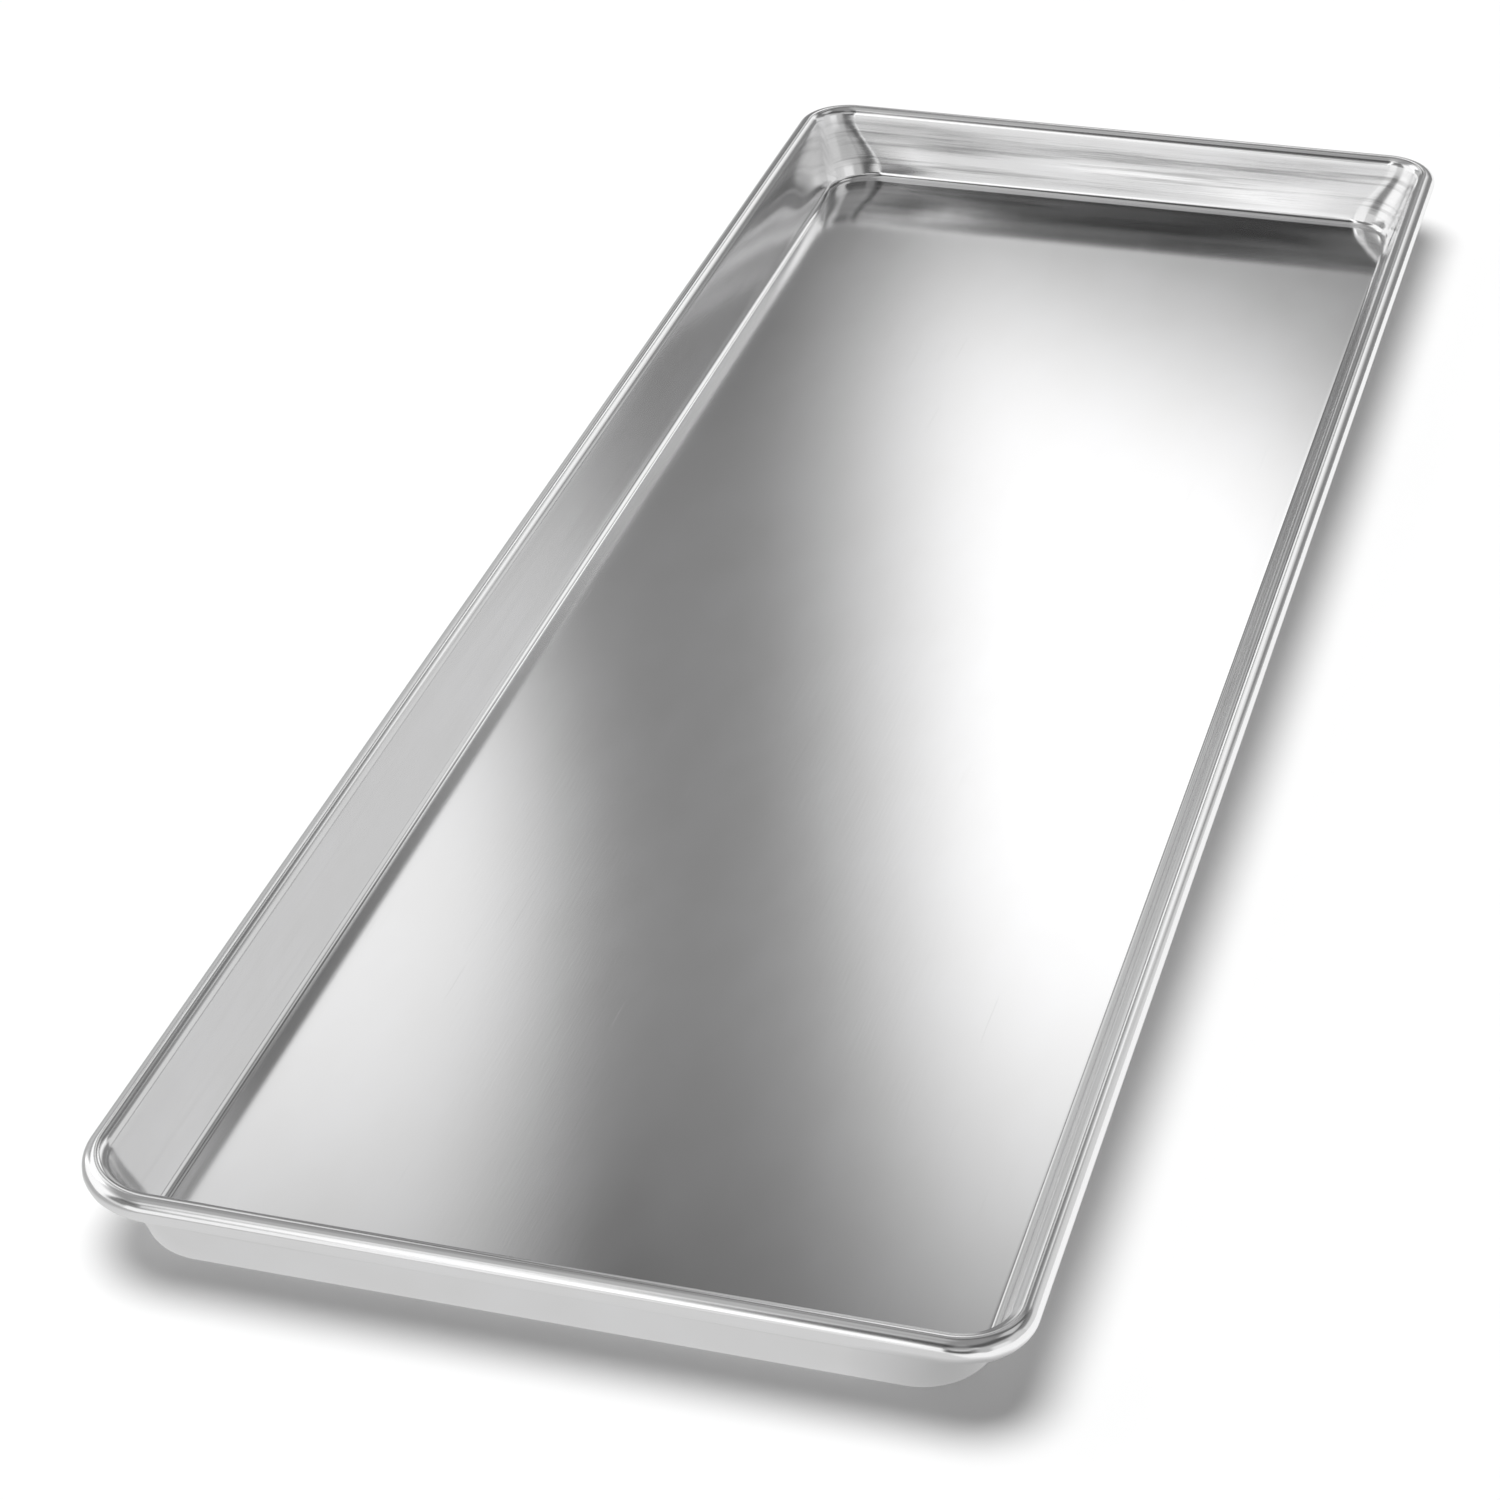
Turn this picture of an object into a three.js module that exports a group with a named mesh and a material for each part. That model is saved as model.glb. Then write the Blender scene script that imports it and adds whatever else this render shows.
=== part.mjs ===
// A bakery display pan: one drawn aluminium sheet whose edge is rolled outwards round a steel wire.
// Millimetres, +Z up. +Y runs along the pan, and the origin is under its middle, on the underside.

import * as THREE from 'three';
import { mergeVertices } from 'three/addons/utils/BufferGeometryUtils.js';

// Overall sizes, over the rolled rim
const panLength = 655.6;
const panWidth = 228.6;
const panHeight = 24.4;

// Sheet and wire
const sheetThickness = 1.0;
const wireDiameter = 4.1;
const wireClearance = 0.3; // between the wire and the sheet rolled round it
const wireEndGap = 1.0; // between the butted ends of the bent wire
const curlEdgeGap = 0.6; // between the cut edge of the sheet and the outside of the wall

// Form of the tray
const sideWallRun = 13.2; // level distance from the floor's crease to the edge of the rim, on the long sides
const endWallRun = 11.8; // the same on the short sides, whose walls stand steeper
const floorFilletRadius = 2.5; // between floor and wall, on the inside
const floorCornerRadius = 16.0; // of the floor's crease, in plan
const rimCornerRadius = 18.0; // of the edge of the rim, in plan

// Facets of the round stretches
const cornerSteps = 12;
const filletSteps = 5;
const curlSteps = 20;
const wireSides = 12;

const boreRadius = wireDiameter / 2 + wireClearance; // inside of the curl
const beadRadius = boreRadius + sheetThickness; // outside of the curl
const beadHeight = panHeight - beadRadius; // of the wire's centre line

// A rounded rectangle in plan: the place of its corner centres in the first quarter, and their radius.
const planRing = (sideInset, endInset, radius) => ({
  x: panWidth / 2 - sideInset - radius,
  y: panLength / 2 - endInset - radius,
  radius,
});
const middle = { x: 0, y: 0, radius: 0 };
const creaseRing = planRing(sideWallRun, endWallRun, floorCornerRadius);
const rimRing = planRing(0, 0, rimCornerRadius);

// Stations run counterclockwise round the corners, and the straight sides span from one corner to the next.
const quarters = [[1, 1], [-1, 1], [-1, -1], [1, -1]];
const cornerStations = quarters.flatMap(([signX, signY], quarter) => {
  const turns = Array.from({ length: cornerSteps + 1 }, (_, step) => quarter + step / cornerSteps);
  return turns.map((turn) => ({ signX, signY, shift: 0, angle: turn * Math.PI / 2 }));
});

// A station in the middle of the +X side, moved along that side.
const sideStation = (shift) => ({ signX: 1, signY: 0, shift, angle: 0 });

// A point of a section stands on a ring of the plan, at an offset outwards from it and at a height.
function placePoint(station, { ring, offset, z }) {
  const reach = ring.radius + offset;
  const x = station.signX * ring.x + reach * Math.cos(station.angle);
  const y = station.signY * ring.y + station.shift + reach * Math.sin(station.angle);
  return new THREE.Vector3(x, y, z);
}

// The level run of the wall at a station. It grows round the corners, where crease and rim differ in centre.
function runAt(station) {
  const acrossX = (rimRing.x - creaseRing.x) * Math.abs(Math.cos(station.angle));
  const acrossY = (rimRing.y - creaseRing.y) * Math.abs(Math.sin(station.angle));
  return acrossX + acrossY + rimRing.radius - creaseRing.radius;
}

// Points of an arc in a section: offset from the ring runs outwards, height runs up.
function arcOn(ring, offset, height, radius, start, end, steps) {
  const arc = new THREE.EllipseCurve(offset, height, radius, radius, start, end, end < start);
  return arc.getPoints(steps).map((point) => ({ ring, offset: point.x, z: point.y }));
}

// The sheet's section at a station: along the floor, up the wall and round the wire to the cut edge,
// then back along the other face of the sheet to the middle of the underside.
function sheetSection(station) {
  const reach = runAt(station) - beadRadius;
  const rise = beadHeight - sheetThickness;
  const lean = Math.atan2(reach, rise) - Math.asin(beadRadius / Math.hypot(reach, rise));

  const filletOffset = -floorFilletRadius * Math.tan((Math.PI / 2 - lean) / 2);
  const filletHeight = sheetThickness + floorFilletRadius;
  const filletArc = (radius, start, end) =>
    arcOn(creaseRing, filletOffset, filletHeight, radius, start, end, filletSteps);

  const curlStart = Math.PI - lean;
  const openAngle = Math.acos((boreRadius - curlEdgeGap) / beadRadius);
  const curlEnd = curlStart - 2 * Math.PI + openAngle;
  const curlArc = (radius, start, end) =>
    arcOn(rimRing, -beadRadius, beadHeight, radius, start, end, curlSteps);

  return [
    { ring: middle, offset: 0, z: sheetThickness },
    { ring: creaseRing, offset: -floorCornerRadius, z: sheetThickness },
    ...filletArc(floorFilletRadius, -Math.PI / 2, -lean),
    ...curlArc(beadRadius, curlStart, curlEnd),
    ...curlArc(boreRadius, curlEnd, curlStart),
    ...filletArc(floorFilletRadius + sheetThickness, -lean, -Math.PI / 2),
    { ring: creaseRing, offset: -floorCornerRadius, z: 0 },
    { ring: middle, offset: 0, z: 0 },
  ];
}

// The wire's round section, about the middle of the curl and level with it.
const wireSection = (radius) => arcOn(rimRing, -beadRadius, 0, radius, 2 * Math.PI, 0, wireSides);

// Skins a row of equal outlines into one closed body. Outlines that shrink to a point close its ends.
function loft(outlines, isRing) {
  const count = outlines[0].length;
  const bays = isRing ? outlines.length : outlines.length - 1;
  const index = [];
  for (let bay = 0; bay < bays; bay++) {
    const here = bay * count;
    const next = ((bay + 1) % outlines.length) * count;
    for (let i = 0; i < count - 1; i++) {
      index.push(here + i, here + i + 1, next + i + 1);
      index.push(here + i, next + i + 1, next + i);
    }
  }
  const geometry = new THREE.BufferGeometry().setFromPoints(outlines.flat());
  geometry.setIndex(index);
  return withoutFlatTriangles(mergeVertices(geometry));
}

// Drops the triangles that have two corners in one place, where an outline shrinks to a point.
function withoutFlatTriangles(geometry) {
  const corners = Array.from(geometry.index.array);
  const kept = [];
  for (let i = 0; i < corners.length; i += 3) {
    const triangle = corners.slice(i, i + 3);
    if (new Set(triangle).size === 3) kept.push(...triangle);
  }
  return geometry.setIndex(kept);
}

function panShell() {
  const outlines = cornerStations.map((station) =>
    sheetSection(station).map((point) => placePoint(station, point)));
  const material = new THREE.MeshStandardMaterial({ color: 0xc8c9cb, roughness: 0.3, metalness: 1 });
  const mesh = new THREE.Mesh(loft(outlines, true), material);
  mesh.name = 'pan_shell';
  return mesh;
}

function rimWire() {
  const firstEnd = sideStation(wireEndGap / 2);
  const lastEnd = sideStation(-wireEndGap / 2);
  const outlineAt = (station, radius) => wireSection(radius).map((point) => placePoint(station, point));
  const outlines = [
    outlineAt(firstEnd, 0),
    ...[firstEnd, ...cornerStations, lastEnd].map((station) => outlineAt(station, wireDiameter / 2)),
    outlineAt(lastEnd, 0),
  ];
  const material = new THREE.MeshStandardMaterial({ color: 0x8f9193, roughness: 0.45, metalness: 1 });
  const mesh = new THREE.Mesh(loft(outlines, false), material);
  mesh.name = 'rim_wire';
  mesh.position.z = beadHeight;
  return mesh;
}

const displayPan = new THREE.Group();
displayPan.add(panShell(), rimWire());

export default displayPan;
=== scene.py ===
import math

import bmesh
import bpy
from mathutils import Matrix, Vector, noise


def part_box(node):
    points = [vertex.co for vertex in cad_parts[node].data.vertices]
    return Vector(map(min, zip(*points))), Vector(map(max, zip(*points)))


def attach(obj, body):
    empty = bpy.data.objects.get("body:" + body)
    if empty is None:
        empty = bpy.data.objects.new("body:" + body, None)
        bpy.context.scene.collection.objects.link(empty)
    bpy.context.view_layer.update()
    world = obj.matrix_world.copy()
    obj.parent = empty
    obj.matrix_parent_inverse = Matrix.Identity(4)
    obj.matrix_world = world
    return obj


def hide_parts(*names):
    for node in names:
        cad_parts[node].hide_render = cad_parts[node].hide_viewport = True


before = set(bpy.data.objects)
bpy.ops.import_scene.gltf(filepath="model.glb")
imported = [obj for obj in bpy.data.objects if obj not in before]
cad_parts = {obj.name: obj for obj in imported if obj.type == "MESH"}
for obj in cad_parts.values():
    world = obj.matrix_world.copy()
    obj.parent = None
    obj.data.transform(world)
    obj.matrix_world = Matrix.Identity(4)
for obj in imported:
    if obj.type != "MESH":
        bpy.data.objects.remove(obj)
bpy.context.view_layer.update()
scene = bpy.context.scene

mm = 0.001
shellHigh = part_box("pan_shell")[1]
halfWidth, halfLength, panHeight = shellHigh

# One pressed sheet, and the wire that its edge is rolled round
sheetForm = {
    "thickness": 1.0 * mm,
    "wire": 4.1 * mm,
    "wireClearance": 0.3 * mm,
    "cutEdgeGap": 0.6 * mm,     # from the raw edge to the outside of the wall
    "sideRun": 13.2 * mm,       # level, from the floor's crease to the rim's edge
    "endRun": 11.8 * mm,
    "fillet": 2.5 * mm,         # between floor and wall
    "creaseCorner": 16.0 * mm,  # corner radii in plan
    "rimCorner": 18.0 * mm,
    "filletSteps": 10,
    "wallRows": 14,
    "curlSteps": 48,
    "cornerSteps": 28,
    "sideSpans": 30,            # on half a long side
    "endSpans": 12,             # on half a short side
    "floorBorder": 0.6 * mm,    # ring that keeps the floor's shading flat
    "weld": 0.01 * mm,          # mirrored vertices within it are joined
    "sharpAngle": 40,           # degrees, above which an edge stays sharp
    "puckerDepth": 0.05 * mm,   # of the drawn corners
    "puckerTurns": 4,           # noise cells round a corner
    "wallWave": 0.02 * mm,
    "waveCells": Vector((9, 9, 20)),    # noise cells per metre
    "cornerHollow": 0.6 * mm,   # the walls hollow out a little way off the corners
    "hollowStart": 24 * mm,
    "hollowReach": 80 * mm,
    "drawnReach": 34 * mm,      # the drawn metal is duller, fading out along the walls
    "drawnFrom": 0.1,           # share of the wall's height over which that sets in
    "dent": 0.24 * mm,          # shallow and long, in the middle of the far wall
    "dentAt": (-2 * mm, 14.6),  # across the pan, and in millimetres up the sheet
    "dentReach": (50 * mm, 5.0),
    "beadWave": 0.05 * mm,
    "beadCells": Vector((22, 22, 0)),
    "beadSeed": Vector((0, 0, 5)),
    "beadFrom": 22.0,           # millimetres up the sheet
    "gatherDepth": 0.16 * mm,   # of the folds under the rolled corners
    "gatherTurns": 9,
    "gatherCells": 0.12,        # noise cells per millimetre up the sheet
    "gatherFrom": 30.0,
    "rolledIn": 4.0,            # millimetres over which waves and folds set in
    "rounderBy": 5.0 * mm,      # the rim's near left corner has a larger radius
    "rounderReach": 90 * mm,    # how far the sides take that up
}

boreRadius = sheetForm["wire"] / 2 + sheetForm["wireClearance"]
beadRadius = boreRadius + sheetForm["thickness"]
beadHeight = panHeight - beadRadius

# Corner centres in plan: the crease and the rim turn about different ones
sideInset = sheetForm["sideRun"] + sheetForm["creaseCorner"]
endInset = sheetForm["endRun"] + sheetForm["creaseCorner"]
cornerCentre = Vector((halfWidth - sideInset, halfLength - endInset, 0))
rimShift = Vector((sideInset - sheetForm["rimCorner"], endInset - sheetForm["rimCorner"], 0))


def smoothStep(t):
    t = min(max(t, 0), 1)
    return t * t * (3 - 2 * t)


def spinAbout(bm, geom, centre, axis, angle, steps, step=(0, 0, 0)):
    spun = bmesh.ops.spin(bm, geom=geom, cent=centre, axis=axis, dvec=step, angle=angle,
                          steps=steps, use_merge=False, use_duplicate=False)
    return spun["geom_last"]


def onlyVerts(geom):
    return [item for item in geom if isinstance(item, bmesh.types.BMVert)]


def onlyEdges(geom):
    return [item for item in geom if isinstance(item, bmesh.types.BMEdge)]


def walkChain(start):
    chain, cameBy = [start], None
    while True:
        onward = [edge for edge in chain[-1].link_edges if edge is not cameBy]
        if not onward:
            return chain
        cameBy = onward[0]
        chain.append(cameBy.other_vert(chain[-1]))


# A quarter of the pan's plan: a chain that stands on the corner's axis turns about it, from side to end
def sweepQuarter(bm, share, endOut=None, endUp=None):
    firstEdges = bm.edges[:]
    chain = bm.verts[:] + bm.edges[:]
    last = spinAbout(bm, chain, (0, 0, 0), (0, 0, 1), math.pi / 2, sheetForm["cornerSteps"])
    lastEdges = onlyEdges(last)
    for vert in bm.verts:
        if endOut:
            outwards = Vector((vert.co.x, vert.co.y, 0)).normalized()
            turned = smoothStep(math.atan2(vert.co.y, vert.co.x) / (math.pi / 2))
            vert.co += (outwards * vert[endOut] + Vector((0, 0, vert[endUp]))) * turned
        vert.co += cornerCentre + rimShift * vert[share]
    runStraight(bm, firstEdges, 1, sheetForm["sideSpans"])
    runStraight(bm, lastEdges, 0, sheetForm["endSpans"])


def runStraight(bm, edges, axis, spans):
    grown = set(onlyVerts(bmesh.ops.extrude_edge_only(bm, edges=edges)["geom"]))
    for vert in grown:
        vert.co[axis] = 0
    rails = [edge for edge in bm.edges if (edge.verts[0] in grown) != (edge.verts[1] in grown)]
    bmesh.ops.subdivide_edges(bm, edges=rails, cuts=spans - 1, use_grid_fill=True)


def mirrorQuarter(bm):
    for axis in ("X", "Y"):
        geom = bm.verts[:] + bm.edges[:] + bm.faces[:]
        bmesh.ops.mirror(bm, geom=geom, axis=axis, merge_dist=sheetForm["weld"])
    bmesh.ops.recalc_face_normals(bm, faces=bm.faces[:])


def meshPiece(bm, name, material):
    mesh = bpy.data.meshes.new(name)
    bm.to_mesh(mesh)
    bm.free()
    mesh.materials.append(material)
    piece = bpy.data.objects.new(name, mesh)
    scene.collection.objects.link(piece)
    return piece


# The sheet's upper face as an open chain, out from the corner's axis:
# fillet, wall, and the curl to its raw edge
def sheetChain(bm, run, share, along):
    fillet = sheetForm["fillet"]
    creaseX = sheetForm["creaseCorner"]
    beadCentre = Vector((creaseX + run - beadRadius, 0, beadHeight))
    reach, rise = beadCentre.x - creaseX, beadHeight - sheetForm["thickness"]
    lean = math.atan2(reach, rise) - math.asin(beadRadius / math.hypot(reach, rise))
    bend = math.pi / 2 - lean
    tangent = fillet * math.tan(bend / 2)
    filletCentre = Vector((creaseX - tangent, 0, sheetForm["thickness"] + fillet))
    start = bm.verts.new(filletCentre - Vector((0, 0, fillet)))
    last = spinAbout(bm, [start], filletCentre, (0, -1, 0), bend, sheetForm["filletSteps"])
    wallFoot = onlyVerts(last)[0]
    wallTopAt = beadCentre + beadRadius * Vector((-math.cos(lean), 0, math.sin(lean)))
    rowStep = (wallTopAt - wallFoot.co) / sheetForm["wallRows"]
    last = spinAbout(bm, [wallFoot], beadCentre, (0, 1, 0), 0, sheetForm["wallRows"], rowStep)
    wallTop = onlyVerts(last)[0]
    openAngle = math.acos((boreRadius - sheetForm["cutEdgeGap"]) / beadRadius)
    spinAbout(bm, [wallTop], beadCentre, (0, 1, 0), 2 * math.pi - openAngle, sheetForm["curlSteps"])
    chain = walkChain(start)
    footIndex, topIndex = chain.index(wallFoot), chain.index(wallTop)
    length = 0
    for index, vert in enumerate(chain):
        if index:
            length += (vert.co - chain[index - 1].co).length
        vert[along] = length / mm
        vert[share] = smoothStep((index - footIndex) / (topIndex - footIndex))
    return chain


# The chain of a short side, as points: its walls stand steeper
def endSection():
    bm = bmesh.new()
    share = bm.verts.layers.float.new("rimShare")
    along = bm.verts.layers.float.new("sheetRun")
    chain = sheetChain(bm, sheetForm["endRun"], share, along)
    points = [vert.co.copy() for vert in chain]
    bm.free()
    return points


def buildShell(material):
    bm = bmesh.new()
    share = bm.verts.layers.float.new("rimShare")   # 0 on the floor, 1 on the bead
    along = bm.verts.layers.float.new("sheetRun")   # millimetres up the sheet from the floor
    drawn = bm.verts.layers.float.new("drawnShare")  # 1 in the drawn corners
    endOut = bm.verts.layers.float.new("endOut")
    endUp = bm.verts.layers.float.new("endUp")
    chain = sheetChain(bm, sheetForm["sideRun"], share, along)
    for vert, endPoint in zip(chain, endSection()):
        vert.co.x -= rimShift.x * vert[share]
        vert[endOut] = endPoint.x - rimShift.y * vert[share] - vert.co.x
        vert[endUp] = endPoint.z - vert.co.z
    sweepQuarter(bm, share, endOut, endUp)
    mirrorQuarter(bm)
    floorLoop = [edge for edge in bm.edges
                 if edge.is_boundary and max(vert[along] for vert in edge.verts) == 0]
    floorFace = bmesh.ops.edgeloop_fill(bm, edges=floorLoop)["faces"]
    bmesh.ops.recalc_face_normals(bm, faces=bm.faces[:])
    if floorFace[0].normal.z < 0:
        bmesh.ops.reverse_faces(bm, faces=bm.faces[:])
    bmesh.ops.inset_region(bm, faces=floorFace, thickness=sheetForm["floorBorder"],
                           use_even_offset=True)
    bm.normal_update()
    for vert in bm.verts:
        workTheSheet(vert, share, along, drawn)
        workTheBead(vert, share, along)
    for vert in bm.verts:
        roundCorner(vert, share)
    bm.normal_update()
    skinFaces = len(bm.faces)
    bmesh.ops.solidify(bm, geom=bm.faces[:], thickness=sheetForm["thickness"])
    volume = round(bm.calc_volume() * 1e6, 1)
    print("shell faces", skinFaces, "->", len(bm.faces), "volume cm3", volume)
    for face in bm.faces:
        face.smooth = True
    for edge in bm.edges:
        edge.smooth = edge.calc_face_angle(0) < math.radians(sheetForm["sharpAngle"])
    return meshPiece(bm, "pressedSheet", material)


# A soft round top that falls to nothing at its reach
def softTop(offset, reach):
    return max(1 - (offset / reach) ** 2, 0) ** 2


# How far a place lies along its side from the corner, and how far round the corner, from 0 to 1
def aroundCorner(place, centre):
    outX, outY = abs(place.x) - centre.x, abs(place.y) - centre.y
    turn = math.atan2(max(outY, 0), max(outX, 0)) / (math.pi / 2)
    return max(-outX, -outY, 0), turn


# Soft noise round a corner, other in each of the four, which fades out towards the sides
def cornerNoise(place, turn, cells, height):
    seed = math.copysign(3, place.x) + math.copysign(7, place.y)
    return noise.noise(Vector((turn * cells, seed, height))) * math.sin(math.pi * turn)


# Drawing hollows the walls near the corners, and leaves soft puckers, a slow wave and a shallow dent
def workTheSheet(vert, share, along, drawn):
    form, place, rise = sheetForm, vert.co, vert[share]
    onWall = 4 * rise * (1 - rise)
    if onWall <= 0:
        return
    fromCorner, turn = aroundCorner(place, cornerCentre + rimShift * rise)
    vert[drawn] = smoothStep(1 - fromCorner / form["drawnReach"]) * smoothStep(rise / form["drawnFrom"])
    hollow = smoothStep(fromCorner / form["hollowStart"]) * form["cornerHollow"]
    hollow *= smoothStep(1 - fromCorner / form["hollowReach"])
    wave = noise.noise(place * form["waveCells"]) * form["wallWave"]
    pucker = cornerNoise(place, turn, form["puckerTurns"], rise) * form["puckerDepth"]
    dent = 0
    if place.y > 0:
        dent = softTop(place.x - form["dentAt"][0], form["dentReach"][0]) * form["dent"]
        dent *= softTop(vert[along] - form["dentAt"][1], form["dentReach"][1])
    vert.co += vert.normal * ((wave + pucker - hollow) * onWall - dent)


# Rolling leaves a slow wave in the bead, and the curl gathers under the corners
def workTheBead(vert, share, along):
    if vert[share] < 1:
        return
    form, place, run = sheetForm, vert.co, vert[along]
    turn = aroundCorner(place, cornerCentre + rimShift)[1]
    slow = noise.noise(place * form["beadCells"] + form["beadSeed"]) * form["beadWave"]
    slow *= smoothStep((run - form["beadFrom"]) / form["rolledIn"])
    gather = cornerNoise(place, turn, form["gatherTurns"], run * form["gatherCells"]) * form["gatherDepth"]
    gather *= smoothStep((run - form["gatherFrom"]) / form["rolledIn"])
    vert.co += vert.normal * (slow + gather)


# The near left corner was struck rounder than the others, most of all at the rim
def roundCorner(vert, share):
    place, rise = vert.co, vert[share]
    if place.x > 0 or place.y > 0:
        return
    fromCorner, turn = aroundCorner(place, cornerCentre + rimShift * rise)
    slide = smoothStep(1 - fromCorner / sheetForm["rounderReach"]) * sheetForm["rounderBy"] * rise
    place.x += slide * (1 - math.cos(turn * math.pi / 2))
    place.y += slide * (1 - math.sin(turn * math.pi / 2))


wireForm = {
    "sides": 20,
    "endGap": 1.0 * mm,
    "atMiddle": 1e-7,   # metres off the middle of a side that still count as on it
}


# The wire lies in the curl, and its ends meet in the middle of the +X side
def buildWire(material):
    bm = bmesh.new()
    share = bm.verts.layers.float.new("rimShare")
    inCurl = Matrix.Translation((sheetForm["rimCorner"] - beadRadius, 0, beadHeight))
    upright = Matrix.Rotation(math.pi / 2, 4, "X")
    ring = bmesh.ops.create_circle(bm, cap_ends=False, segments=wireForm["sides"],
                                   radius=sheetForm["wire"] / 2, matrix=inCurl @ upright)["verts"]
    for vert in ring:
        vert[share] = 1
    sweepQuarter(bm, share)
    mirrorQuarter(bm)
    for vert in bm.verts:
        roundCorner(vert, share)
    joint = [edge for edge in bm.edges
             if all(abs(v.co.y) < wireForm["atMiddle"] and v.co.x > 0 for v in edge.verts)]
    halves = bmesh.ops.split_edges(bm, edges=joint)["edges"]
    for vert in {v for edge in halves for v in edge.verts}:
        side = sum(face.calc_center_median().y for face in vert.link_faces)
        vert.co.y = math.copysign(wireForm["endGap"] / 2, side)
    bmesh.ops.holes_fill(bm, edges=[edge for edge in bm.edges if edge.is_boundary], sides=0)
    bmesh.ops.recalc_face_normals(bm, faces=bm.faces[:])
    print("wire faces", len(bm.faces), "volume cm3", round(bm.calc_volume() * 1e6, 1))
    for face in bm.faces:
        face.smooth = len(face.verts) == 4
    return meshPiece(bm, "rolledInWire", material)


# Materials
def mathNode(nodes, links, operation, *values):
    node = nodes.new("ShaderNodeMath")
    node.operation = operation
    for socket, value in zip(node.inputs, values):
        if isinstance(value, (int, float)):
            socket.default_value = value
        else:
            links.new(value, socket)
    return node.outputs[0]


def newMaterial(name):
    material = bpy.data.materials.new(name)
    material.use_nodes = True
    nodes, links = material.node_tree.nodes, material.node_tree.links
    return material, nodes, links, nodes["Principled BSDF"]


def newGroup(name, inputs, outputs):
    group = bpy.data.node_groups.new(name, "ShaderNodeTree")
    for socketName, kind in inputs:
        group.interface.new_socket(socketName, in_out="INPUT", socket_type=kind)
    for socketName in outputs:
        group.interface.new_socket(socketName, in_out="OUTPUT", socket_type="NodeSocketFloat")
    nodes, links = group.nodes, group.links
    given, out = nodes.new("NodeGroupInput").outputs, nodes.new("NodeGroupOutput").inputs
    return group, nodes, links, given, out


def useGroup(nodes, links, group, **given):
    node = nodes.new("ShaderNodeGroup")
    node.node_tree = group
    for name, source in given.items():
        links.new(source, node.inputs[name])
    return node.outputs


def stretchedNoise(nodes, links, vector, scale, turn=0, detail=3.0, rough=0.55):
    place = nodes.new("ShaderNodeMapping")
    place.inputs["Rotation"].default_value = (0, 0, math.radians(turn))
    place.inputs["Scale"].default_value = scale
    links.new(vector, place.inputs["Vector"])
    texture = nodes.new("ShaderNodeTexNoise")
    texture.inputs["Scale"].default_value = 1
    texture.inputs["Detail"].default_value = detail
    texture.inputs["Roughness"].default_value = rough
    links.new(place.outputs["Vector"], texture.inputs["Vector"])
    return texture.outputs["Fac"]


def ranged(nodes, links, value, low, high, toLow, toHigh):
    node = nodes.new("ShaderNodeMapRange")
    for name, number in (("From Min", low), ("From Max", high), ("To Min", toLow), ("To Max", toHigh)):
        node.inputs[name].default_value = number
    links.new(value, node.inputs["Value"])
    return node.outputs["Result"]


# Noise cells per metre, and the turn of the scratches in degrees
grainForm = {
    "grain": (1500, 90, 1500),
    "cloud": (45, 22, 45),
    "scratches": ((12, (1300, 16, 1)), (-38, (1100, 22, 1)), (71, (1500, 26, 1))),
    "scratchFrom": (0.83, 0.88),    # only the peaks of that noise are scratches
    "alongLines": 9,
    "acrossLines": 0.4,             # cells per millimetre up the sheet
    "lineRoughness": 0.62,
}


# Rolling leaves a fine grain along the pan, and handling leaves clouds and hair scratches
def grainGroup():
    group, nodes, links, given, out = newGroup(
        "metalGrain", [("Vector", "NodeSocketVector")], ("Grain", "Cloud", "Scratch"))
    links.new(stretchedNoise(nodes, links, given["Vector"], grainForm["grain"]), out["Grain"])
    links.new(stretchedNoise(nodes, links, given["Vector"], grainForm["cloud"], detail=5), out["Cloud"])
    marks = None
    for turn, scale in grainForm["scratches"]:
        strokes = stretchedNoise(nodes, links, given["Vector"], scale, turn, detail=0)
        mark = ranged(nodes, links, strokes, *grainForm["scratchFrom"], 0, 1)
        marks = mathNode(nodes, links, "MAXIMUM", marks, mark) if marks else mark
    links.new(marks, out["Scratch"])
    return group


# Drawing drags fine lines along the walls, set by the way up the sheet
def drawLinesGroup():
    group, nodes, links, given, out = newGroup(
        "drawLines", [("Vector", "NodeSocketVector"), ("Run", "NodeSocketFloat")], ("Line",))
    parts = nodes.new("ShaderNodeSeparateXYZ")
    links.new(given["Vector"], parts.inputs[0])
    joined = nodes.new("ShaderNodeCombineXYZ")
    cells = ((parts.outputs["X"], grainForm["alongLines"]), (parts.outputs["Y"], grainForm["alongLines"]),
             (given["Run"], grainForm["acrossLines"]))
    for socket, (value, scale) in zip(joined.inputs, cells):
        links.new(mathNode(nodes, links, "MULTIPLY", value, scale), socket)
    line = stretchedNoise(nodes, links, joined.outputs[0], (1, 1, 1), detail=5,
                          rough=grainForm["lineRoughness"])
    links.new(line, out["Line"])
    return group


metalGrain = grainGroup()
drawLines = drawLinesGroup()

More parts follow.
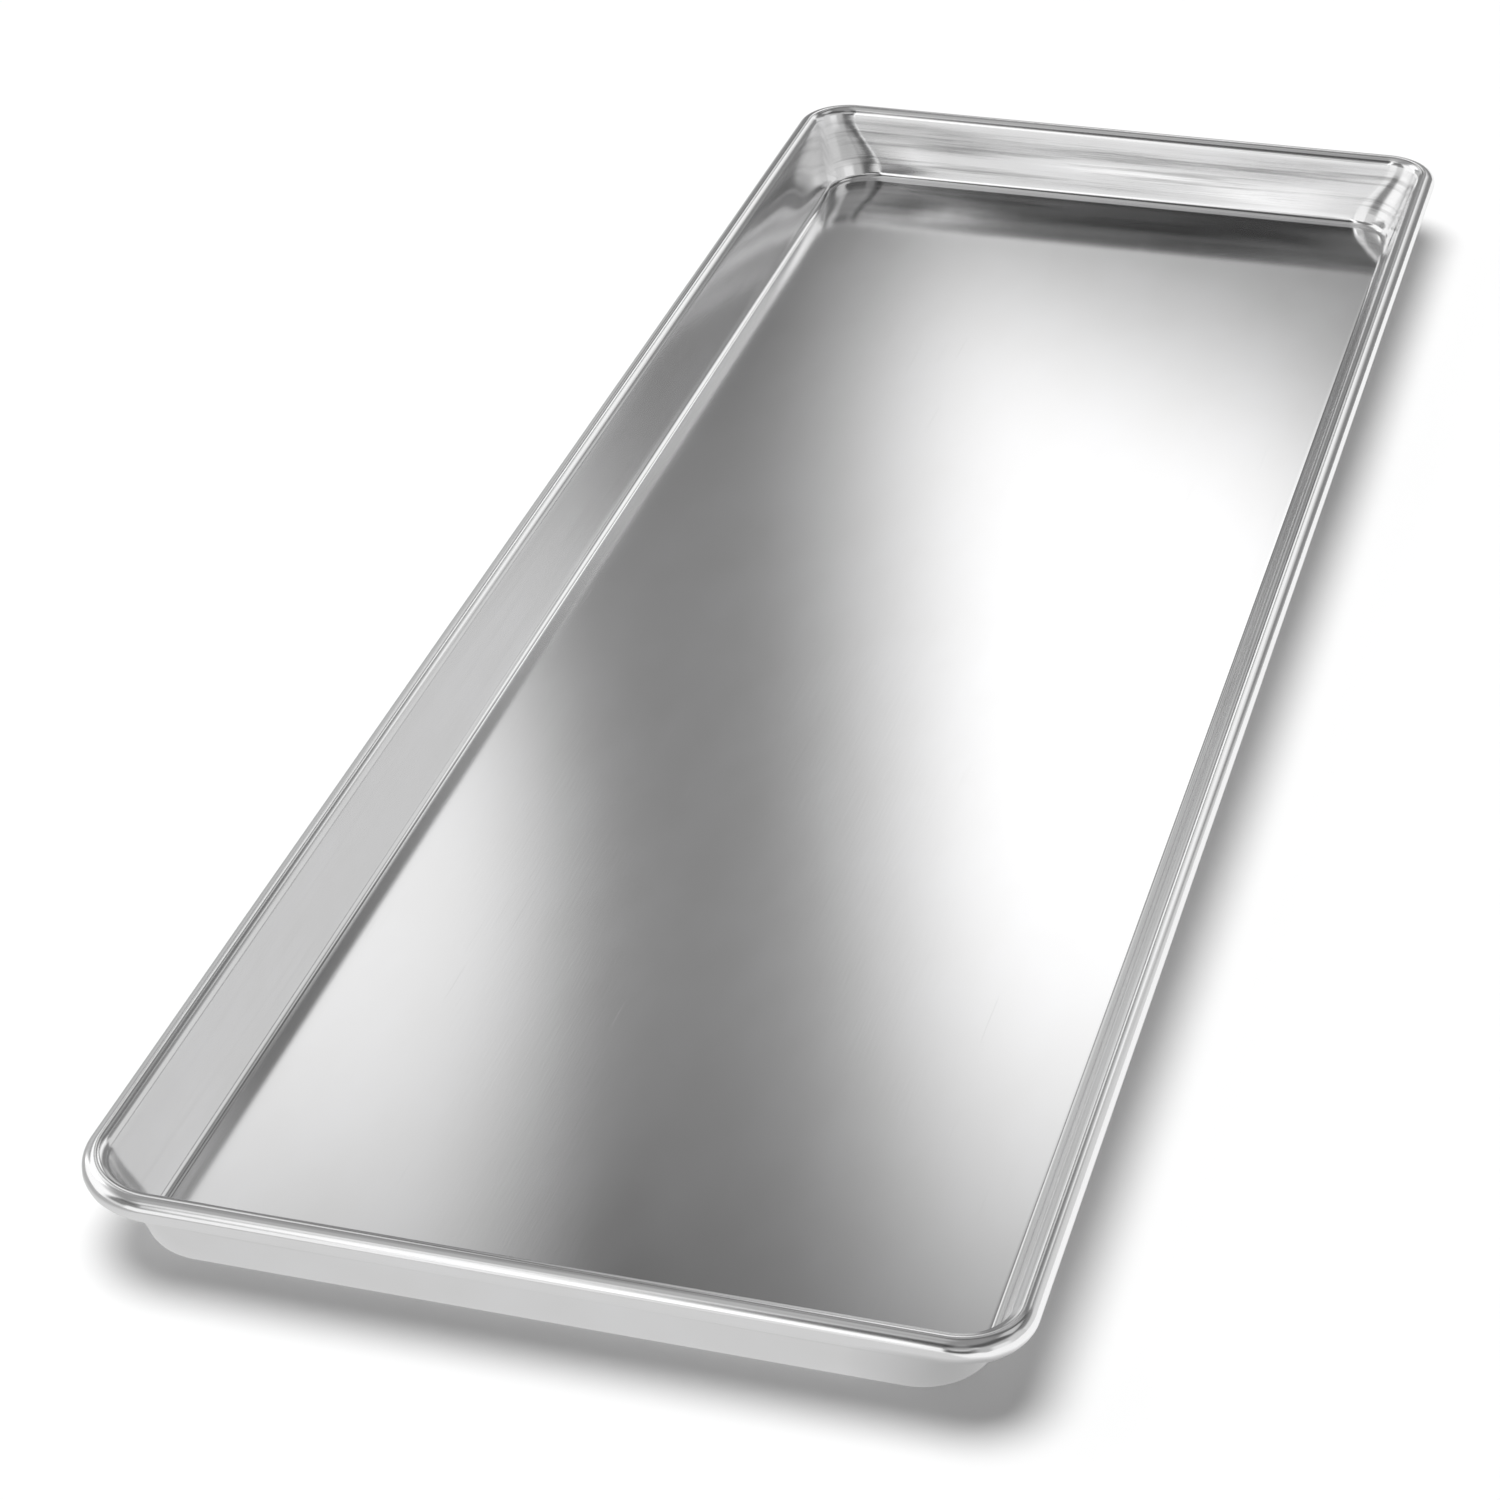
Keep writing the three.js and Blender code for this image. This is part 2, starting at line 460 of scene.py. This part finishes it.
# Ranges are shares of the wall's height, or of a face's turn towards an axis
aluminiumLook = {
    "dull": (0.885, 0.883, 0.883, 1),
    "bright": (0.92, 0.92, 0.925, 1),
    "cloudRange": (0.3, 0.7),
    "dragged": (0.36, 0.36, 0.36, 1),   # fine drag marks inside the end walls
    "dragRange": (0.50, 0.66),          # of the lines' noise
    "dragShare": 0.75,
    "paintedRimShade": (0.45, 0.44, 0.43, 1),     # painted shade under the rolled rim
    "rimShadeRange": (0.5, 0.85),
    "rimShadeEnd": (0.97, 0.999),
    "rimShadeShare": 0.5,
    "wallFoot": (0, 0.06),
    "wallTop": (0.9, 1),
    "facingEnds": (0.2, 0.9),
    "facingUp": (0, 0.1),
    "facingDown": (-0.1, 0),
    "linesOnSides": 0.06,               # shares of the drag lines' depth on the end walls
    "linesOnBead": 0.12,
    "lineDepth": 0.048 * mm,
    "grainOnWall": 0.3,
    "grainDepth": 0.0012 * mm,
    "sheetRoughness": 0.1,
    "beadRoughness": 0.135,
    "drawnRoughness": 0.085,            # added in the drawn corners
    "cloudRoughness": 0.02,             # added by clouds, and by scratches on the floor
    "scratchRoughness": 0.025,
    "scratchEnd": (0, 0.02),
}


def colourBetween(nodes, links, share, first, second):
    mix = nodes.new("ShaderNodeMix")
    mix.data_type = "RGBA"
    links.new(share, mix.inputs["Factor"])
    for socket, colour in ((mix.inputs["A"], first), (mix.inputs["B"], second)):
        if isinstance(colour, tuple):
            socket.default_value = colour
        else:
            links.new(colour, socket)
    return mix.outputs["Result"]


def bumpOn(nodes, links, height, depth, normal=None):
    bump = nodes.new("ShaderNodeBump")
    bump.inputs["Distance"].default_value = depth
    links.new(height, bump.inputs["Height"])
    if normal:
        links.new(normal, bump.inputs["Normal"])
    return bump.outputs["Normal"]


def attributeOf(nodes, name):
    node = nodes.new("ShaderNodeAttribute")
    node.attribute_name = name
    return node.outputs["Fac"]


def pressedAluminium():
    material, nodes, links, shader = newMaterial("pressedAluminium")
    look = aluminiumLook
    shader.inputs["Metallic"].default_value = 1

    def times(first, second):
        return mathNode(nodes, links, "MULTIPLY", first, second)

    def across(value, limits, toLow, toHigh):
        return ranged(nodes, links, value, *limits, toLow, toHigh)

    place = nodes.new("ShaderNodeTexCoord").outputs["Object"]
    rise, run = attributeOf(nodes, "rimShare"), attributeOf(nodes, "sheetRun")
    grain = useGroup(nodes, links, metalGrain, Vector=place)
    line = useGroup(nodes, links, drawLines, Vector=place, Run=run)["Line"]
    facing = nodes.new("ShaderNodeSeparateXYZ")
    links.new(nodes.new("ShaderNodeNewGeometry").outputs["Normal"], facing.inputs[0])
    alongPan = mathNode(nodes, links, "ABSOLUTE", facing.outputs["Y"])
    onEnds = across(alongPan, look["facingEnds"], look["linesOnSides"], 1)
    offFloor = across(rise, look["wallFoot"], 0, 1)
    offBead = across(rise, look["wallTop"], 1, look["linesOnBead"])
    onWall = times(times(offFloor, offBead), onEnds)

    tone = across(grain["Cloud"], look["cloudRange"], 0, 1)
    clean = colourBetween(nodes, links, tone, look["dull"], look["bright"])
    inside = across(facing.outputs["Z"], look["facingUp"], 0, look["dragShare"])
    drag = times(times(across(line, look["dragRange"], 0, 1), onWall), inside)
    marked = colourBetween(nodes, links, drag, clean, look["dragged"])
    outside = across(facing.outputs["Z"], look["facingDown"], 1, 0)
    # Painted shade: the outside of the wall is darkened towards the rolled rim above it, fading out at the
    # bead
    rimShadeMask = times(across(rise, look["rimShadeRange"], 0, look["rimShadeShare"]), outside)
    rimShadeMask = times(rimShadeMask, across(rise, look["rimShadeEnd"], 1, 0))
    links.new(colourBetween(nodes, links, rimShadeMask, marked, look["paintedRimShade"]), shader.inputs["Base Color"])

    smooth = across(rise, look["wallTop"], look["sheetRoughness"], look["beadRoughness"])
    drawn = attributeOf(nodes, "drawnShare")
    smooth = mathNode(nodes, links, "MULTIPLY_ADD", drawn, look["drawnRoughness"], smooth)
    worn = mathNode(nodes, links, "MULTIPLY_ADD", grain["Cloud"], look["cloudRoughness"], smooth)
    onFloorOnly = across(rise, look["scratchEnd"], look["scratchRoughness"], 0)
    rough = mathNode(nodes, links, "MULTIPLY_ADD", grain["Scratch"], onFloorOnly, worn)
    links.new(rough, shader.inputs["Roughness"])

    lines = bumpOn(nodes, links, times(line, onWall), look["lineDepth"])
    fine = times(grain["Grain"], across(rise, look["wallFoot"], 1, look["grainOnWall"]))
    links.new(bumpOn(nodes, links, fine, look["grainDepth"], lines), shader.inputs["Normal"])
    return material


steelLook = {
    "dull": (0.40, 0.40, 0.41, 1),
    "bright": (0.56, 0.57, 0.58, 1),
    "grainRange": (0.3, 0.7),
    "roughness": (0.28, 0.42),
    "grainDepth": 0.004 * mm,
}


def drawnSteel():
    material, nodes, links, shader = newMaterial("drawnSteel")
    shader.inputs["Metallic"].default_value = 1
    place = nodes.new("ShaderNodeTexCoord").outputs["Object"]
    grain = useGroup(nodes, links, metalGrain, Vector=place)
    tone = colourBetween(nodes, links, grain["Cloud"], steelLook["dull"], steelLook["bright"])
    links.new(tone, shader.inputs["Base Color"])
    rough = ranged(nodes, links, grain["Grain"], *steelLook["grainRange"], *steelLook["roughness"])
    links.new(rough, shader.inputs["Roughness"])
    links.new(bumpOn(nodes, links, grain["Grain"], steelLook["grainDepth"]), shader.inputs["Normal"])
    return material


shell = buildShell(pressedAluminium())
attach(shell, "root")
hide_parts("pan_shell")
wire = buildWire(drawnSteel())
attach(wire, "root")
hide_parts("rim_wire")
print("pieces made")

# Stage: a plain white floor, which the metal sees mostly unshaded
floorLook = {
    "halfSize": 12.0,
    "drop": 0.2 * mm,
    "colour": (0.96, 0.96, 0.96, 1),
    "inMetal": 0.95,       # share that the metal sees unshaded
    "closeBy": 0.68,       # brightness there, by the pan and out on its right
    "outRight": 1.0,
    "rightRamp": (112 * mm, 130 * mm),
    "outLeft": 0.64,       # share of that brightness, out on the left
    "leftRamp": (-165 * mm, -130 * mm),
    "shade": 0.66,         # and under the near right corner
    "shadedCorner": (104 * mm, -322 * mm, 0),
    "shadeRamp": (8 * mm, 34 * mm),
}


def buildFloor():
    bm = bmesh.new()
    bmesh.ops.create_grid(bm, x_segments=1, y_segments=1, size=floorLook["halfSize"])
    bmesh.ops.translate(bm, verts=bm.verts[:], vec=(0, 0, -floorLook["drop"]))
    material, nodes, links, shader = newMaterial("whiteFloor")
    shader.inputs["Base Color"].default_value = floorLook["colour"]
    shader.inputs["Roughness"].default_value = 1
    shader.inputs["Specular IOR Level"].default_value = 0
    path = nodes.new("ShaderNodeLightPath")
    white = nodes.new("ShaderNodeEmission")
    parts = nodes.new("ShaderNodeSeparateXYZ")
    place = nodes.new("ShaderNodeTexCoord").outputs["Object"]
    links.new(place, parts.inputs[0])
    away = nodes.new("ShaderNodeVectorMath")
    away.operation = "DISTANCE"
    away.inputs[1].default_value = floorLook["shadedCorner"]
    links.new(place, away.inputs[0])
    shade = ranged(nodes, links, away.outputs["Value"], *floorLook["shadeRamp"], floorLook["shade"], 1)
    bright = ranged(nodes, links, parts.outputs["X"], *floorLook["rightRamp"],
                    floorLook["closeBy"], floorLook["outRight"])
    dimmer = ranged(nodes, links, parts.outputs["X"], *floorLook["leftRamp"], floorLook["outLeft"], 1)
    bright = mathNode(nodes, links, "MULTIPLY", bright, dimmer)
    links.new(mathNode(nodes, links, "MULTIPLY", bright, shade), white.inputs["Strength"])
    share = mathNode(nodes, links, "MULTIPLY", path.outputs["Is Glossy Ray"], floorLook["inMetal"])
    mix = nodes.new("ShaderNodeMixShader")
    links.new(share, mix.inputs["Fac"])
    links.new(shader.outputs["BSDF"], mix.inputs[1])
    links.new(white.outputs["Emission"], mix.inputs[2])
    clear = nodes.new("ShaderNodeMixShader")    # seen through from below
    links.new(nodes.new("ShaderNodeNewGeometry").outputs["Backfacing"], clear.inputs["Fac"])
    links.new(mix.outputs["Shader"], clear.inputs[1])
    links.new(nodes.new("ShaderNodeBsdfTransparent").outputs["BSDF"], clear.inputs[2])
    links.new(clear.outputs["Shader"], nodes["Material Output"].inputs["Surface"])
    floor = meshPiece(bm, "studioFloor", material)


buildFloor()

# Studio: soft panels all round, by their edges in degrees. Azimuth runs from +Y towards +X.
# A level below 0 takes light away, as a black card does. The values stand in the group's order
panels = {
    "roomFill": {"left": -165, "right": 150, "bottom": -2, "top": 40,
                 "sideSoft": 20, "bottomSoft": 4, "topSoft": 10, "level": 0.135, "slope": 0},
    "rightScreen": {"left": -14.7, "right": -6.5, "bottom": 26.0, "top": 39.6,
                    "sideSoft": 5, "bottomSoft": 4, "topSoft": 12, "level": 1.0, "slope": 0.3},
    "farRight": {"left": -1.5, "right": 24, "bottom": 22.5, "top": 37,
                 "sideSoft": 5, "bottomSoft": 13, "topSoft": 9, "level": 0.8, "slope": 0.15},
    "farLow": {"left": -17, "right": -3, "bottom": -2, "top": 20,
               "sideSoft": 4, "bottomSoft": 4, "topSoft": 8, "level": 0.28, "slope": 0},
    "farFlag": {"left": -22, "right": -14.2, "bottom": 20, "top": 26.4,
                "sideSoft": 1.4, "bottomSoft": 4, "topSoft": 3, "level": -0.17, "slope": 0},
    "leftScreen": {"left": -30.5, "right": -20.8, "bottom": 30.5, "top": 40,
                   "sideSoft": 3, "bottomSoft": 4, "topSoft": 12, "level": 0.75, "slope": 0},
    "leftFlag": {"left": -22.6, "right": -19.8, "bottom": 36, "top": 46,
                 "sideSoft": 2, "bottomSoft": 5, "topSoft": 4, "level": -0.21, "slope": 0},
    "leftGap": {"left": -34, "right": -21.5, "bottom": 20, "top": 30.5,
                "sideSoft": 3, "bottomSoft": 5, "topSoft": 4, "level": 0.42, "slope": 0},
    "farLeftLow": {"left": -66, "right": -30, "bottom": -2, "top": 22,
                   "sideSoft": 4, "bottomSoft": 4, "topSoft": 10, "level": 0.3, "slope": 0},
    "farLeftHigh": {"left": -70, "right": -35, "bottom": 28, "top": 46,
                    "sideSoft": 5, "bottomSoft": 4, "topSoft": 6, "level": 0.95, "slope": 0},
    "highLeft": {"left": -150, "right": -22, "bottom": 46, "top": 80,
                 "sideSoft": 10, "bottomSoft": 10, "topSoft": 10, "level": 0.22, "slope": 0},
    "highFar": {"left": -9, "right": 2, "bottom": 44.5, "top": 50,
                "sideSoft": 5, "bottomSoft": 4, "topSoft": 6, "level": 0.2, "slope": 0},
    "rightGap": {"left": 22, "right": 33, "bottom": 20.5, "top": 29.5,
                 "sideSoft": 4, "bottomSoft": 4, "topSoft": 5, "level": 0.42, "slope": 0},
    "highMid": {"left": -22, "right": 20, "bottom": 45.5, "top": 57,
                "sideSoft": 4, "bottomSoft": 4, "topSoft": 6, "level": 0.28, "slope": 0},
    "rightFlat": {"left": 32, "right": 72, "bottom": -2, "top": 26,
                  "sideSoft": 1.6, "bottomSoft": 4, "topSoft": 8, "level": 0.465, "slope": 0},
    "highRight": {"left": 36, "right": 75, "bottom": 46, "top": 64,
                  "sideSoft": 6, "bottomSoft": 6, "topSoft": 6, "level": 0.5, "slope": 0},
    "rightSide": {"left": 72, "right": 97, "bottom": -2, "top": 38,
                  "sideSoft": 8, "bottomSoft": 4, "topSoft": 14, "level": 0.42, "slope": 0},
    "rightBack": {"left": 97, "right": 146, "bottom": -2, "top": 42,
                  "sideSoft": 14, "bottomSoft": 4, "topSoft": 14, "level": 0.27, "slope": 0},
    "backSpot": {"left": 140, "right": 150, "bottom": 35, "top": 46,
                 "sideSoft": 5, "bottomSoft": 4, "topSoft": 4, "level": 0.35, "slope": 0},
    "backGlow": {"left": 98, "right": 124, "bottom": -2, "top": 24,
                 "sideSoft": 8, "bottomSoft": 4, "topSoft": 10, "level": 0.35, "slope": 0},
    "backHigh": {"left": 150, "right": 188, "bottom": 29, "top": 47,
                 "sideSoft": 6, "bottomSoft": 6, "topSoft": 6, "level": 0.3, "slope": 0},
    "cornerGlow": {"left": 152, "right": 178, "bottom": 23.5, "top": 36,
                   "sideSoft": 8, "bottomSoft": 4, "topSoft": 8, "level": 0.25, "slope": 0},
    "backTop": {"left": 150, "right": 178, "bottom": 46, "top": 72,
                "sideSoft": 8, "bottomSoft": 8, "topSoft": 10, "level": 0.12, "slope": 0},
    "leftWindow": {"left": -112, "right": -60, "bottom": -2, "top": 46,
                   "sideSoft": 8, "bottomSoft": 4, "topSoft": 16, "level": 0.85, "slope": 0},
    "leftBack": {"left": -138, "right": -112, "bottom": -2, "top": 15,
                 "sideSoft": 8, "bottomSoft": 4, "topSoft": 8, "level": 0.5, "slope": 0},
    "cameraFoot": {"left": 140, "right": 196, "bottom": -8, "top": 8.3,
                   "sideSoft": 8, "bottomSoft": 4, "topSoft": 7, "level": 0.68, "slope": 0.17},
    "cameraLow": {"left": 196, "right": 222, "bottom": -2, "top": 24,
                  "sideSoft": 4, "bottomSoft": 4, "topSoft": 10, "level": 0.75, "slope": 0},
    "cameraHigh": {"left": 187.5, "right": 214, "bottom": 26, "top": 47.3,
                   "sideSoft": 6, "bottomSoft": 8, "topSoft": 5, "level": 1.1, "slope": 1.44},
    "cameraLeft": {"left": 216, "right": 240, "bottom": 54, "top": 70,
                   "sideSoft": 6, "bottomSoft": 6, "topSoft": 6, "level": 0.5, "slope": 0},
    "bandFlag": {"left": 187, "right": 204, "bottom": 51, "top": 64,
                 "sideSoft": 3, "bottomSoft": 4, "topSoft": 4, "level": -0.06, "slope": 0},
    "ceiling": {"left": -181, "right": 181, "bottom": 66, "top": 91,
                "sideSoft": 0.5, "bottomSoft": 14, "topSoft": 0.5, "level": 0.18, "slope": 0},
}
darkLevel = 0.1  # of the room between the panels
onFloor = 0.65  # share of the panels that lights the floor


panelSockets = ("Azimuth", "Elevation", "Left", "Right", "Bottom", "Top",
                "Side Soft", "Bottom Soft", "Top Soft", "Level", "Slope")


def panelGroup():
    sockets = [(name, "NodeSocketFloat") for name in panelSockets]
    group, nodes, links, given, out = newGroup("softPanel", sockets, ("Light",))

    def calc(operation, *values):
        return mathNode(nodes, links, operation, *values)

    def edge(inside, soft):
        ramp = nodes.new("ShaderNodeMapRange")
        ramp.interpolation_type = "SMOOTHSTEP"
        half = calc("MULTIPLY", soft, 0.5)
        links.new(inside, ramp.inputs["Value"])
        links.new(calc("MULTIPLY", half, -1), ramp.inputs["From Min"])
        links.new(half, ramp.inputs["From Max"])
        return ramp.outputs["Result"]

    middle = calc("MULTIPLY", calc("ADD", given["Left"], given["Right"]), 0.5)
    halfWide = calc("MULTIPLY", calc("SUBTRACT", given["Right"], given["Left"]), 0.5)
    along = calc("WRAP", calc("SUBTRACT", given["Azimuth"], middle), 180, -180)
    above = calc("SUBTRACT", given["Elevation"], calc("MULTIPLY", along, given["Slope"]))
    fromSides = calc("SUBTRACT", halfWide, calc("ABSOLUTE", along))
    mask = calc("MULTIPLY", edge(fromSides, given["Side Soft"]),
                edge(calc("SUBTRACT", above, given["Bottom"]), given["Bottom Soft"]))
    mask = calc("MULTIPLY", mask, edge(calc("SUBTRACT", given["Top"], above), given["Top Soft"]))
    links.new(calc("MULTIPLY", mask, given["Level"]), out["Light"])
    return group


def buildStudio():
    world = bpy.data.worlds.new("studio")
    scene.world = world
    world.use_nodes = True
    nodes, links = world.node_tree.nodes, world.node_tree.links
    background = nodes["Background"]
    ray = nodes.new("ShaderNodeTexCoord")
    parts = nodes.new("ShaderNodeSeparateXYZ")
    links.new(ray.outputs["Generated"], parts.inputs[0])

    def calc(operation, *values):
        return mathNode(nodes, links, operation, *values)

    azimuth = calc("DEGREES", calc("ARCTAN2", parts.outputs["X"], parts.outputs["Y"]))
    elevation = calc("DEGREES", calc("ARCSINE", parts.outputs["Z"]))
    group = panelGroup()
    total = darkLevel
    for name, panel in panels.items():
        node = nodes.new("ShaderNodeGroup")
        node.node_tree = group
        node.label = name
        links.new(azimuth, node.inputs["Azimuth"])
        links.new(elevation, node.inputs["Elevation"])
        for socket, value in zip(list(node.inputs)[2:], panel.values()):
            socket.default_value = value
        total = calc("ADD", node.outputs["Light"], total)
    path = nodes.new("ShaderNodeLightPath")
    share = calc("MULTIPLY_ADD", path.outputs["Is Glossy Ray"], 1 - onFloor, onFloor)
    links.new(calc("MULTIPLY", total, share), background.inputs["Strength"])
    background.inputs["Color"].default_value = (1, 1, 1, 1)


buildStudio()

# A broad lamp overhead throws the soft shadow under the rim. The metal mirrors the panels alone
lampPlace = {"level": 0.78, "width": 42, "tilt": 11, "towards": 68}


def hangLamp():
    data = bpy.data.lights.new("overheadLamp", "SUN")
    data.energy = lampPlace["level"] * math.pi
    data.angle = math.radians(lampPlace["width"])
    lamp = bpy.data.objects.new("overheadLamp", data)
    lamp.visible_glossy = False
    lamp.matrix_world = (Matrix.Rotation(math.radians(lampPlace["towards"]), 4, "Z")
                         @ Matrix.Rotation(math.radians(-lampPlace["tilt"]), 4, "X"))
    scene.collection.objects.link(lamp)


hangLamp()
scene.view_settings.view_transform = "Standard"
print("studio lit")

# Camera at the photograph's angle
cameraPlace = {
    "azimuth": 17.071,      # degrees, from -Y towards +X
    "elevation": 32.186,
    "roll": -1.456,
    "target": (-22.6 * mm, -69.55 * mm, 0),
    "distance": 1092.3 * mm,
    "lens": 93.62,
    "sensor": 36,           # millimetres wide
    "farthest": 100,        # metres that it sees
}


def placeCamera():
    data = bpy.data.cameras.new("photoCamera")
    data.lens = cameraPlace["lens"]
    data.sensor_width = cameraPlace["sensor"]
    data.clip_end = cameraPlace["farthest"]
    camera = bpy.data.objects.new("photoCamera", data)
    scene.collection.objects.link(camera)
    turn = (Matrix.Rotation(math.radians(cameraPlace["azimuth"]), 4, "Z")
            @ Matrix.Rotation(math.radians(90 - cameraPlace["elevation"]), 4, "X")
            @ Matrix.Rotation(math.radians(cameraPlace["roll"]), 4, "Z"))
    back = turn @ Vector((0, 0, cameraPlace["distance"]))
    camera.matrix_world = Matrix.Translation(Vector(cameraPlace["target"]) + back) @ turn
    scene.camera = camera


placeCamera()
